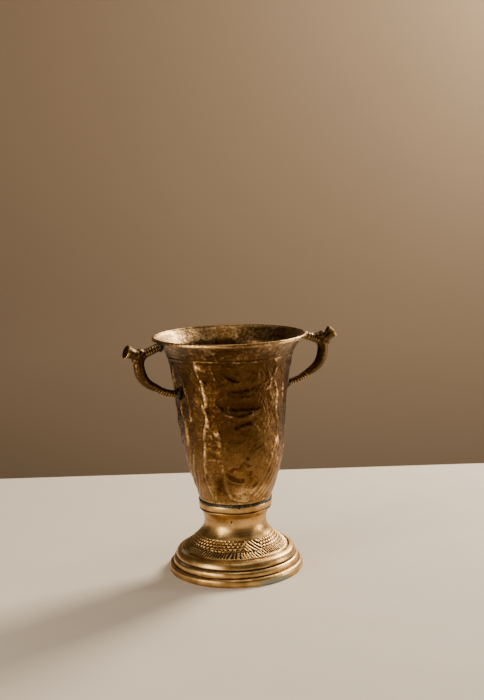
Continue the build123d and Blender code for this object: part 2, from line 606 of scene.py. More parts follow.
@dataclass(frozen=True)
class ChasedScene:
    """Foliage and drapery of the cup, drawn by azimuth and height.

    It repeats round the cup with small hand-made differences.
    """

    turns: tuple[float, ...] = (128.0, 246.0)  # where the front drawing is repeated
    seed: int = 11
    unsteady: float = 0.8  # degrees by which the maker's hand wandered
    blows: Point2 = (0.85, 1.2)  # weakest and strongest blow

    def pilaster(self) -> list[Mark]:
        """The tall wavy ridge at the left of the front, with its side branches."""
        crest = (
            (-148, 137.5), (-147, 133), (-146, 129), (-143, 125), (-142.5, 120.5), (-141.5, 115),
            (-141, 111), (-143.5, 108), (-141.5, 104), (-141.5, 100.5), (-144, 96.5), (-146, 91),
            (-146.5, 86), (-148, 80), (-149.5, 74), (-151.5, 68),
        )
        return [
            Stroke(crest, 1.4, 1.0, 3.6),
            Stroke(((-144.5, 111), (-145.5, 108), (-145, 105.5)), 1.2, 0.5),
            Stroke(((-128, 94), (-127.3, 88), (-127.5, 80), (-126.5, 74), (-127.5, 69)), 5.0, 0.5, 1.3),
            Stroke(((-141.5, 98.5), (-137, 95.5), (-132, 92.8), (-128, 91.5)), 2.6, 0.6),
            Stroke(((-137, 91), (-133, 88), (-129.5, 85.5)), 1.3, 0.4),
            Leaf((-141.5, 95.8), 3.5, 1.8, 20.0, -0.5),
            Stroke(((-140, 109), (-137, 106.5), (-133.5, 105)), 1.6, -0.5),
        ]

    def crown(self) -> list[Mark]:
        """Small leaves at the top of the ridge."""
        return [
            Stroke(((-133, 133.5), (-131.5, 130), (-129.5, 127), (-127, 125)), 1.3, 0.7, 3.0),
            Leaf((-145, 133.5), 7.0, 4.0, 15.0, 0.5),
            Leaf((-139.5, 132), 7.0, 3.0, -30.0, 0.35),
            Leaf((-141, 127.6), 11.0, 2.6, -42.0, -0.6),
            Leaf((-137, 124.4), 7.0, 2.0, -48.0, -0.45),
            Leaf((-143.5, 127), 3.0, 3.0, 0.0, -0.6),
        ]

    def drapery(self) -> list[Mark]:
        """Wavy folds and the dark hollows under them in the upper half of the front."""
        bank = (
            (-131, 113.5), (-127, 109.5), (-121, 106.3), (-113, 104.2),
            (-104, 103.5), (-96, 104.4), (-89, 107),
        )
        return [
            Leaf((-114.5, 128.2), 14.0, 3.2, -27.0, -0.8, 0.6),
            Leaf((-93, 131.5), 13.0, 3.2, -14.0, -0.4),
            Leaf((-104, 121.0), 24.0, 4.4, 6.0, -0.5, 0.5),
            Leaf((-105, 110.6), 32.0, 6.4, -3.0, -0.85, -0.7),
            Leaf((-103, 99.6), 14.0, 4.2, 18.0, -0.8, -0.5),
            Leaf((-116, 102.3), 6.0, 1.8, -8.0, -0.5),
            Leaf((-128.5, 108.6), 4.6, 1.6, -38.0, -0.45),
            Stroke(((-122, 134.5), (-112, 134), (-104, 135.2)), 2.0, 0.3),
            Stroke(((-126, 125.5), (-115, 124.6), (-103, 125.6), (-92, 124.8), (-82, 126)), 2.2, 0.2),
            Stroke(((-127, 117.5), (-120, 115.3), (-110, 116), (-100, 115.2), (-90, 115.8)), 2.4, 0.22),
            Stroke(bank, 4.6, 0.5, 1.6),
            Stroke(((-97, 118.5), (-95, 116.8), (-97, 115)), 1.0, 0.35),
        ]

    def foliage(self) -> list[Mark]:
        """Veined leaves and hatching to the right of the folds."""
        return [
            Leaf((-76, 124.0), 17.0, 7.0, 62.0, 0.4, 1.2, 2.2),
            Leaf((-66, 113.5), 18.0, 7.0, 50.0, 0.45, -1.4, 2.2),
            Leaf((-79, 108.0), 15.0, 6.0, 112.0, 0.35, 1.0, 2.2),
            Leaf((-73, 97.0), 17.0, 7.0, 65.0, 0.4, 1.2, 2.4),
            Leaf((-90, 95.5), 14.0, 5.5, 130.0, 0.35, -1.0, 2.2),
            Leaf((-85, 84.0), 15.0, 5.0, 20.0, 0.3, 0.8, 2.2),
            Leaf((-116, 90.0), 13.0, 4.5, 35.0, 0.25, 0.7, 2.2),
            Hatching((-70, 131.0), 18.0, 9.0, 58.0, 2.1, 0.25),
            Hatching((-68, 104.0), 16.0, 12.0, 118.0, 2.1, 0.22),
            Hatching((-99, 88.0), 16.0, 9.0, 55.0, 2.3, 0.15),
        ]

    def uprights(self) -> list[Mark]:
        """Wavy stems that climb the right side of the front."""
        stem = (
            (-70, 137), (-67, 132.5), (-70, 127), (-66.5, 121.5), (-62, 115), (-63.5, 106), (-58.5, 98),
            (-58, 90), (-60, 85),
        )
        return [
            Stroke(stem, 2.8, 0.75),
            Stroke(((-77, 129), (-73.5, 124.5), (-74.5, 119), (-71, 113)), 1.6, 0.4),
            Stroke(((-61, 135), (-57, 128), (-54, 120), (-51, 111), (-48, 100)), 2.0, 0.5),
        ]

    def swag(self) -> list[Mark]:
        """The double band that hangs across the middle, with its beads."""
        return [
            Stroke(((-127.5, 69.5), (-122, 70.6), (-116, 71.8), (-110, 73)), 1.3, 0.5),
            Stroke(((-118, 69.4), (-110, 71.2), (-104, 74.2), (-98, 78)), 1.5, -0.45),
            Stroke(((-127.5, 69.5), (-126, 65.5), (-121, 62.2), (-113, 60.6), (-104, 60.6)), 1.5, 0.6),
            Stroke(((-125.5, 67.5), (-119, 64.4), (-111, 62.6), (-104, 62.8)), 1.5, -0.55),
            Stroke(((-124, 68.6), (-118, 66.8), (-113, 65.6)), 1.0, 0.3),
            Leaf((-97, 71.5), 5.0, 1.6, 8.0, 0.4),
            Leaf((-89, 66.5), 5.5, 1.8, -5.0, 0.5),
            Leaf((-98.5, 77.5), 3.2, 2.6, 0.0, -0.45),
            Leaf((-75, 71), 8.0, 2.4, -35.0, -0.4),
        ]

    def petals(self) -> list[Mark]:
        """The petals that stand up from the solder seam.

        Returns:
            Their outlines, bodies and hatching.
        """
        edge = (
            (-150.5, 68.5), (-147, 66.2), (-144.2, 63), (-144, 59.5), (-145.5, 56), (-145, 51), (-144, 48),
        )
        rim = ((-127, 64.5), (-127, 58), (-124.5, 53.5), (-119, 50.3), (-110, 48.6), (-98, 48.2))
        return [
            Stroke(edge, 1.3, 0.6),
            Stroke(((-152.5, 66), (-153.5, 60), (-151, 55.5), (-149, 51), (-148, 48)), 1.6, 0.7),
            Leaf((-148.5, 57.5), 17.0, 5.0, 88.0, 0.5),
            Leaf((-134, 56), 8.0, 17.0, 0.0, -0.55),
            Stroke(rim, 1.5, 0.6),
            Leaf((-104, 55), 18.0, 11.0, 0.0, 0.6),
            Hatching((-108, 56), 16.0, 8.0, 8.0, 1.6, 0.15),
        ]

    def folds(self) -> list[Mark]:
        """Long folds that sweep up to the right from the seam.

        Returns:
            One stroke for each fold.
        """
        first = ((-106, 49.5), (-96, 52.2), (-87, 56.6), (-79, 62.5), (-71, 70), (-64, 78.5), (-60.5, 86))
        second = ((-97, 48.6), (-88, 51), (-78, 56), (-70, 62.5), (-63, 70.5), (-57.5, 79), (-56, 88))
        third = ((-86, 48.4), (-77, 51.6), (-68, 57), (-60, 64.5), (-53, 74), (-50, 84))
        return [
            Stroke(first, 2.0, 0.6),
            Stroke(second, 2.0, 0.65),
            Stroke(third, 2.0, 0.6),
            Stroke(((-74, 48.6), (-65, 53), (-56, 60), (-48, 69)), 1.8, 0.5),
            Stroke(((-94, 59), (-86, 62.5), (-80, 67)), 1.3, 0.35),
        ]

    def marks(self) -> list[Mark]:
        """Every mark of every repeat: the front one as drawn, the others slightly off it.

        Returns:
            All marks round the cup.
        """
        groups = (
            self.pilaster, self.crown, self.drapery, self.foliage,
            self.uprights, self.swag, self.petals, self.folds,
        )
        first = [mark for group in groups for mark in group()]
        hand = np.random.default_rng(self.seed)
        made = list(first)
        for turn in self.turns:
            for mark in first:
                aside, up = hand.normal(0, self.unsteady, 2)
                made.append(mark.moved(turn + aside, 0.6 * up, hand.uniform(*self.blows)))
        return made

    def relief(self, sheet: Developed) -> np.ndarray:
        """Height of the whole scene over the plain sheet.

        Args:
            sheet: The chased part of the cup.

        Returns:
            Relief in millimetres for each row and column.
        """
        total = np.zeros((sheet.height.size, sheet.azimuth.size))
        for mark in self.marks():
            strip, columns = sheet.window(*mark.span())
            total[:, columns] += mark.lift(strip)
        return total


# ---- Finishes --------------------------------------------------------------------------------

SMOOTH = {"interpolation_type": "SMOOTHSTEP"}
SCALED_SUM = {"operation": "MULTIPLY_ADD"}
COLOURS = {"data_type": "RGBA"}
MIX_SHARE, MIX_LOW, MIX_HIGH, MIX_OUT = 0, 6, 7, 2  # sockets of a colour mix


@dataclass
class NodeBook:
    """The node tree of one material."""

    name: str

    def __post_init__(self) -> None:
        """Start a clean material."""
        self.material = bpy.data.materials.new(self.name)
        self.material.use_nodes = True
        self.tree = self.material.node_tree
        self.tree.nodes.clear()

    def add(
        self, kind: str, settings: dict[str, Any], inputs: dict[str | int, Any], outlet: str | int = 0
    ) -> bpy.types.NodeSocket | None:
        """Add one node with its settings and links.

        Args:
            kind: Blender's name of the node type.
            settings: Attributes of the node itself.
            inputs: For each input, by name or number, the socket linked to it or its fixed value.
            outlet: Name or number of the output to give back.

        Returns:
            That output, or None for the output node.
        """
        node = self.tree.nodes.new(kind)
        for name, value in settings.items():
            setattr(node, name, value)
        for name, value in inputs.items():
            if isinstance(value, bpy.types.NodeSocket):
                self.tree.links.new(value, node.inputs[name])
            else:
                node.inputs[name].default_value = value
        return node.outputs[outlet] if len(node.outputs) else None


@dataclass(frozen=True)
class BeatenSheetBrass:
    """Beaten and chased sheet brass, browned by age, with painted shade on the upper wall and inside the
    cup.

    It gives the eye warm gold on the crests, brown in the hollows and a soft, broken gloss.
    """

    crest: str = "#CCA873"
    field_colour: str = "#8C693B"
    hollow: str = "#593811"
    # brown of the real patina, also used for painted shade on the upper wall and inside
    patina_and_shade_colour: str = "#3C260D"
    speck_colour: str = "#2B1A08"
    stain_mm: float = 9.0
    mottle_mm: float = 2.2
    speck_mm: float = 0.8  # real specks are near 0.2 mm, drawn coarser so that they show
    roughness: float = 0.29

    def material(self) -> bpy.types.Material:
        """Build the node material.

        Returns:
            The finished material.
        """
        book = NodeBook("beaten_sheet_brass")
        noise_kind, range_kind = "ShaderNodeTexNoise", "ShaderNodeMapRange"
        where = book.add("ShaderNodeTexCoord", {}, {}, "Object")
        relief = book.add("ShaderNodeAttribute", {"attribute_name": "relief"}, {}, "Fac")
        patina_and_shade = book.add("ShaderNodeAttribute", {"attribute_name": "patina_and_shade"}, {}, "Fac")
        stain = book.add(noise_kind, {}, {"Vector": where, "Scale": per_metre(self.stain_mm), "Detail": 4.0})
        mottling = {"Vector": where, "Scale": per_metre(self.mottle_mm), "Detail": 5.0, "Roughness": 0.65}
        mottle = book.add(noise_kind, {}, mottling)
        specking = {"Vector": where, "Scale": per_metre(self.speck_mm), "Detail": 3.0}
        specks = book.add(noise_kind, {}, specking)
        uneven = book.add("ShaderNodeMath", SCALED_SUM, {0: stain, 1: 1.1, 2: -1.35})
        uneven = book.add("ShaderNodeMath", SCALED_SUM, {0: mottle, 1: 1.6, 2: uneven})
        tone = book.add("ShaderNodeMath", SCALED_SUM, {0: relief, 1: 1.0, 2: uneven})
        low = book.add(range_kind, SMOOTH, {"Value": tone, "From Min": -0.75, "From Max": 0.15})
        high = book.add(range_kind, SMOOTH, {"Value": tone, "From Min": 0.25, "From Max": 1.0})
        pitted = {"Value": specks, "From Min": 0.56, "From Max": 0.68, "To Max": 0.75}
        dark = book.add(range_kind, SMOOTH, pitted)
        brown = {MIX_SHARE: low, MIX_LOW: linear(self.hollow), MIX_HIGH: linear(self.field_colour)}
        base = book.add("ShaderNodeMix", COLOURS, brown, MIX_OUT)
        gold = {MIX_SHARE: high, MIX_LOW: base, MIX_HIGH: linear(self.crest)}
        base = book.add("ShaderNodeMix", COLOURS, gold, MIX_OUT)
        # the browning mixed in below is partly real patina and partly painted shade on the upper wall and
        # inside
        kept = book.add("ShaderNodeMath", SCALED_SUM, {0: high, 1: -0.75, 2: 0.94})
        patina_and_shade_share = book.add("ShaderNodeMath", {"operation": "MULTIPLY"}, {0: patina_and_shade, 1: kept})
        aged = {MIX_SHARE: patina_and_shade_share, MIX_LOW: base, MIX_HIGH: linear(self.patina_and_shade_colour)}
        base = book.add("ShaderNodeMix", COLOURS, aged, MIX_OUT)
        dotted = {MIX_SHARE: dark, MIX_LOW: base, MIX_HIGH: linear(self.speck_colour)}
        base = book.add("ShaderNodeMix", COLOURS, dotted, MIX_OUT)
        rough = book.add("ShaderNodeMath", SCALED_SUM, {0: mottle, 1: 0.24, 2: self.roughness - 0.09})
        rough = book.add("ShaderNodeMath", SCALED_SUM, {0: patina_and_shade, 1: 0.07, 2: rough})
        height = book.add("ShaderNodeMath", SCALED_SUM, {0: specks, 1: 0.5, 2: mottle})
        normal = book.add("ShaderNodeBump", {}, {"Height": height, "Strength": 0.75, "Distance": 0.3 * MM})
        surface = {"Base Color": base, "Metallic": 1.0, "Roughness": rough, "Normal": normal}
        shader = book.add("ShaderNodeBsdfPrincipled", {}, surface)
        book.add("ShaderNodeOutputMaterial", {}, {"Surface": shader})
        return book.material


@dataclass(frozen=True)
class TurnedCastBrass:
    """Cast brass turned on a lathe, worn golden, with dirt left in its engraving and painted shade in its
    corners.

    It gives the eye a clear yellow gloss with fine rings round it.
    """

    metal: str = "#CEAA70"
    aged: str = "#9A7440"
    # dark colour of dirt, also used for painted shade in the corners beside the steps
    dirt: str = "#3A2611"
    verdigris: str = "#808A7B"
    stain_mm: float = 8.0
    ring_mm: float = 0.9  # real tool marks are near 0.2 mm apart, drawn coarser so that they show
    grit_mm: float = 0.7
    roughness: float = 0.34

    def material(self) -> bpy.types.Material:
        """Build the node material.

        Returns:
            The finished material.
        """
        book = NodeBook("turned_cast_brass")
        noise_kind, range_kind = "ShaderNodeTexNoise", "ShaderNodeMapRange"
        where = book.add("ShaderNodeTexCoord", {}, {}, "Object")
        relief = book.add("ShaderNodeAttribute", {"attribute_name": "relief"}, {}, "Fac")
        green = book.add("ShaderNodeAttribute", {"attribute_name": "verdigris"}, {}, "Fac")
        stain = book.add(noise_kind, {}, {"Vector": where, "Scale": per_metre(self.stain_mm), "Detail": 5.0})
        grit = book.add(noise_kind, {}, {"Vector": where, "Scale": per_metre(self.grit_mm), "Detail": 3.0})
        flat = book.add("ShaderNodeMapping", {}, {"Vector": where, "Scale": (0.03, 0.03, 1.0)})
        rings = book.add(noise_kind, {}, {"Vector": flat, "Scale": per_metre(self.ring_mm), "Detail": 2.0})
        tone = book.add("ShaderNodeMath", SCALED_SUM, {0: stain, 1: 1.3, 2: -0.45})
        tone = book.add("ShaderNodeMath", SCALED_SUM, {0: rings, 1: 0.25, 2: tone})
        worn = book.add(range_kind, SMOOTH, {"Value": tone, "From Min": 0.0, "From Max": 0.6})
        # low relief notes are darkened: dirt in the engraving and painted shade in the corners beside the
        # steps
        ingrained_and_shaded = {"Value": relief, "From Min": -0.45, "From Max": -0.06, "To Min": 0.92, "To Max": 0.0}
        deep = book.add(range_kind, SMOOTH, ingrained_and_shaded)
        pitted = {"Value": grit, "From Min": 0.62, "From Max": 0.74, "To Max": 0.5}
        dots = book.add(range_kind, SMOOTH, pitted)
        crust = book.add("ShaderNodeMath", SCALED_SUM, {0: grit, 1: 0.6, 2: green})
        crusted = {"Value": crust, "From Min": 0.7, "From Max": 1.05, "To Max": 0.85}
        cover = book.add(range_kind, SMOOTH, crusted)
        aged = {MIX_SHARE: worn, MIX_LOW: linear(self.aged), MIX_HIGH: linear(self.metal)}
        base = book.add("ShaderNodeMix", COLOURS, aged, MIX_OUT)
        for share in (deep, dots):
            dirtied_and_shaded = {MIX_SHARE: share, MIX_LOW: base, MIX_HIGH: linear(self.dirt)}
            base = book.add("ShaderNodeMix", COLOURS, dirtied_and_shaded, MIX_OUT)
        greened = {MIX_SHARE: cover, MIX_LOW: base, MIX_HIGH: linear(self.verdigris)}
        base = book.add("ShaderNodeMix", COLOURS, greened, MIX_OUT)
        rough = book.add("ShaderNodeMath", SCALED_SUM, {0: grit, 1: 0.25, 2: self.roughness - 0.1})
        rough = book.add("ShaderNodeMath", SCALED_SUM, {0: cover, 1: 0.45, 2: rough})
        metallic = book.add("ShaderNodeMath", SCALED_SUM, {0: cover, 1: -0.9, 2: 1.0})
        height = book.add("ShaderNodeMath", SCALED_SUM, {0: rings, 1: 0.8, 2: grit})
        normal = book.add("ShaderNodeBump", {}, {"Height": height, "Strength": 0.5, "Distance": 0.12 * MM})
        surface = {"Base Color": base, "Metallic": metallic, "Roughness": rough, "Normal": normal}
        shader = book.add("ShaderNodeBsdfPrincipled", {}, surface)
        book.add("ShaderNodeOutputMaterial", {}, {"Surface": shader})
        return book.material


@dataclass(frozen=True)
class PatinatedCastBrass:
    """Cast and filed brass under a near-black skin.

    It gives the eye dark, slightly grainy metal that shows gold only where hands have rubbed it.
    """

    skin: str = "#4C381E"
    rubbed: str = "#BC9C65"
    grain_mm: float = 1.1
    stain_mm: float = 5.0
    roughness: float = 0.36

    def material(self) -> bpy.types.Material:
        """Build the node material.

        Returns:
            The finished material.
        """
        book = NodeBook("patinated_cast_brass")
        noise_kind = "ShaderNodeTexNoise"
        where = book.add("ShaderNodeTexCoord", {}, {}, "Object")
        relief = book.add("ShaderNodeAttribute", {"attribute_name": "relief"}, {}, "Fac")
        stain = book.add(noise_kind, {}, {"Vector": where, "Scale": per_metre(self.stain_mm), "Detail": 4.0})
        sand = book.add(noise_kind, {}, {"Vector": where, "Scale": per_metre(self.grain_mm), "Detail": 4.0})
        tone = book.add("ShaderNodeMath", SCALED_SUM, {0: stain, 1: 0.6, 2: -0.72})
        tone = book.add("ShaderNodeMath", SCALED_SUM, {0: sand, 1: 0.9, 2: tone})
        tone = book.add("ShaderNodeMath", SCALED_SUM, {0: relief, 1: 1.2, 2: tone})
        share = book.add("ShaderNodeMapRange", SMOOTH, {"Value": tone, "From Min": 0.12, "From Max": 0.95})
        skinned = {MIX_SHARE: share, MIX_LOW: linear(self.skin), MIX_HIGH: linear(self.rubbed)}
        base = book.add("ShaderNodeMix", COLOURS, skinned, MIX_OUT)
        rough = book.add("ShaderNodeMath", SCALED_SUM, {0: sand, 1: 0.25, 2: self.roughness - 0.1})
        normal = book.add("ShaderNodeBump", {}, {"Height": sand, "Strength": 0.7, "Distance": 0.3 * MM})
        surface = {"Base Color": base, "Metallic": 1.0, "Roughness": rough, "Normal": normal}
        shader = book.add("ShaderNodeBsdfPrincipled", {}, surface)
        book.add("ShaderNodeOutputMaterial", {}, {"Surface": shader})
        return book.material


@dataclass(frozen=True)
class BlackenedSolder:
    """Soft solder, melted on and blackened, with a grey-green bloom.

    It gives the eye a dull, lumpy black with pale patches.
    """

    black: str = "#1D1A15"
    bloom: str = "#62675C"
    lump_mm: float = 1.4
    roughness: float = 0.45

    def material(self) -> bpy.types.Material:
        """Build the node material.

        Returns:
            The finished material.
        """
        book = NodeBook("blackened_solder")
        where = book.add("ShaderNodeTexCoord", {}, {}, "Object")
        lumpy = {"Vector": where, "Scale": per_metre(self.lump_mm), "Detail": 5.0}
        lumps = book.add("ShaderNodeTexNoise", {}, lumpy)
        share = book.add("ShaderNodeMapRange", SMOOTH, {"Value": lumps, "From Min": 0.5, "From Max": 0.74})
        bloomed = {MIX_SHARE: share, MIX_LOW: linear(self.black), MIX_HIGH: linear(self.bloom)}
        base = book.add("ShaderNodeMix", COLOURS, bloomed, MIX_OUT)
        rough = book.add("ShaderNodeMath", SCALED_SUM, {0: lumps, 1: 0.4, 2: self.roughness - 0.15})
        normal = book.add("ShaderNodeBump", {}, {"Height": lumps, "Strength": 0.6, "Distance": 0.3 * MM})
        surface = {"Base Color": base, "Metallic": 0.6, "Roughness": rough, "Normal": normal}
        shader = book.add("ShaderNodeBsdfPrincipled", {}, surface)
        book.add("ShaderNodeOutputMaterial", {}, {"Surface": shader})
        return book.material


# ---- Pieces ----------------------------------------------------------------------------------

AXIS_HOLE = 1.5  # radius of the innermost ring of a flat face, which a fan of triangles closes


@dataclass
class Cup:
    """The beaten cup: a chased outside, a plain flared band, a rounded lip and a smooth lining."""

    columns: int = 840
    row_step: float = 0.36
    wall: float = 1.6
    floor: float = 2.2
    lip_height: float = 2.3
    lip_width: float = 1.9
    scribe_height: float = 138.7
    spigot: float = 20.25
    ornament_fade: float = 1.6  # mm over which the relief dies out at its edges
    sunk_ground: float = 0.45  # how far the chaser drove the ground back
    polish: tuple[int, int] = (2, 3)  # rows and columns over which polishing has softened the chasing
    steepest: float = 0.95  # height that the relief levels off at
    painted_floor_light: float = 0.4  # how much brighter the lowest part is: painted light from the floor
    painted_floor_light_height: float = 53.0
    painted_floor_light_width: float = 14.0
    dent_mm: float = 7.0
    hammer_mm: float = 2.6
    scribe_depth: float = 0.3
    rolled_rise: float = 0.12  # swelling under the scribed line
    lip_wear: float = 0.6  # how far the rubbed lip stands out as bright
    lining_wear: float = 0.5
    patina_and_shade_by_height: tuple[Point2, ...] = (  # height and share: real browning and painted shade, darker up the wall
        (48, 0.0), (60, 0.15), (76, 0.5), (90, 0.9), (137, 1.0), (146, 0.95), (149, 0.4),
    )
    scene: ChasedScene = field(default_factory=ChasedScene)

    def __post_init__(self) -> None:
        """Read the rim, the foot and the top of the cup from the CAD frame."""
        low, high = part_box("vase_body")
        self.rim_radius = high.x / MM
        self.top = high.z / MM
        self.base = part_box("solder_cup_seam")[1].z / MM
        self.spigot_bottom = low.z / MM
        self.lip_bottom = self.top - self.lip_height

    def outline(self) -> np.ndarray:
        """Outer line of the wall from the solder seam to the underside of the lip.

        Returns:
            Rows of radius and height.
        """
        points = [
            (22.9, self.base), (24.3, 50.0), (27.6, 60.0), (30.4, 70.0), (33.4, 90.0), (35.3, 110.0),
            (37.2, 125.0), (40.0, 138.7), (43.1, 144.2), (self.rim_radius - self.lip_width, self.lip_bottom),
        ]
        return smooth_line(points, self.row_step)

    def lip(self) -> np.ndarray:
        """Round bead of the lip, from its lower edge over the top.

        Returns:
            Rows of radius and height.
        """
        half = 0.5 * self.lip_width
        edge, low = self.rim_radius, self.lip_bottom
        side = np.array([(edge - 0.35, low), (edge - 0.05, low + 0.25), (edge, low + 0.7)])
        return np.vstack([side, bend((edge - half, self.top - half), half, 0, 180, 11)])

    def lining(self, outline: np.ndarray) -> np.ndarray:
        """Inner line of the wall from the lip down to the middle of the floor.

        Args:
            outline: The outer line.

        Returns:
            Rows of radius and height.
        """
        floor = self.base + self.floor
        inner = outline[outline[:, 1] > floor + 5.0] - np.array([self.wall, 0.0])
        corner = [tuple(inner[0]), (20.9, floor + 2.2), (17.7, floor + 0.1), (12.0, floor)]
        return np.vstack([inner[::-1][::2], smooth_line(corner, 0.8)[1:], [(AXIS_HOLE, floor)]])

    def relief(self, outline: np.ndarray, turn: np.ndarray) -> np.ndarray:
        """Chasing, dents and the scribed line on the outside of the wall.

        Args:
            outline: The outer line.
            turn: Azimuth of each column.

        Returns:
            Lift in millimetres for each row and column.
        """
        height = outline[:, 1]
        chased = softened(self.scene.relief(Developed(turn, height, outline[:, 0])), *self.polish)
        chased = self.steepest * np.tanh(chased / self.steepest)
        top = np.clip((self.scribe_height - 0.6 - height) / self.ornament_fade, 0, 1)
        bottom = np.clip((height - self.base - 0.3) / self.ornament_fade, 0, 1)
        worked = (top * bottom)[:, None]
        plain = lathe(outline, turn.size)
        lumps = grain(plain, self.dent_mm, 2, 3.7)
        hammer = grain(plain, self.hammer_mm, 3, 9.1)
        dents = (0.14 + 0.24 * worked) * lumps + (0.03 + 0.17 * worked) * hammer
        scribe = -self.scribe_depth * bell(height - self.scribe_height, 1.1)
        rolled = self.rolled_rise * bell(height - (self.scribe_height - 1.3), 1.6)
        rim = np.clip((self.lip_bottom - height) / 2.0, 0, 1)
        ground = -self.sunk_ground - 0.3 * bell(height - 58.0, 22.0)
        line = (scribe + rolled)[:, None] + ground[:, None] * worked
        return chased * worked + dents * rim[:, None] + line

    def patina_and_shade(self, rings: np.ndarray, note: np.ndarray, inner_rows: int) -> np.ndarray:
        """How dark the brass is made, real browning and painted shade together: most on the upper wall and
        inside, least where it is rubbed.

        Args:
            rings: Points of the shell.
            note: Relief of each point.
            inner_rows: How many of the last rows are the lining.

        Returns:
            Values from 0, bright, to 1, brown.
        """
        heights, shares = np.array(self.patina_and_shade_by_height).T
        made = np.interp(rings[..., 2], heights, shares)
        cloud = grain(rings, 14.0, 3, 63.0)
        rubbed = np.clip((note - 0.7) / 0.5, 0, 1)
        made = (made + 0.2 * cloud) * (1.0 - 0.8 * rubbed)
        # painted shade inside the cup, over its real browning
        made[-inner_rows:] = 0.88 + 0.2 * cloud[-inner_rows:]
        return np.clip(made, 0, 1)

    def build(self, finish: bpy.types.Material) -> bpy.types.Object:
        """Make the cup as one closed shell.

        Args:
            finish: The beaten brass.

        Returns:
            The cup.
        """
        outline = self.outline()
        turn = azimuths(self.columns)
        lift = self.relief(outline, turn)
        outer = lathe(outline, self.columns, lift)
        low = self.spigot_bottom
        bottom = np.array([(AXIS_HOLE, low), (self.spigot, low), (self.spigot, self.base)])
        lip = self.lip()
        lining = self.lining(outline)
        inner = lathe(lining, self.columns)
        beaten = grain(inner, 9.0, 2, 21.0)
        inner[..., :2] *= 1.0 + 0.003 * beaten[..., None]
        rings = leaned(np.vstack([lathe(bottom, self.columns), outer, lathe(lip, self.columns), inner]))
        note = np.zeros(rings.shape[:2])
        first = bottom.shape[0]
        last = first + lift.shape[0]
        # painted light from the floor, brightening the lowest part of the wall
        painted_floor_light = self.painted_floor_light * bell(outline[:, 1:] - self.painted_floor_light_height, self.painted_floor_light_width)
        note[first:last] = lift + self.sunk_ground + painted_floor_light
        note[last : last + lip.shape[0]] = self.lip_wear
        note[-lining.shape[0] :] = self.lining_wear
        attributes = {"relief": note, "patina_and_shade": self.patina_and_shade(rings, note, lining.shape[0])}
        cup = Shell("cup_of_beaten_brass", rings, True, attributes).build()
        seat(cup, "vase_body", finish)
        return cup


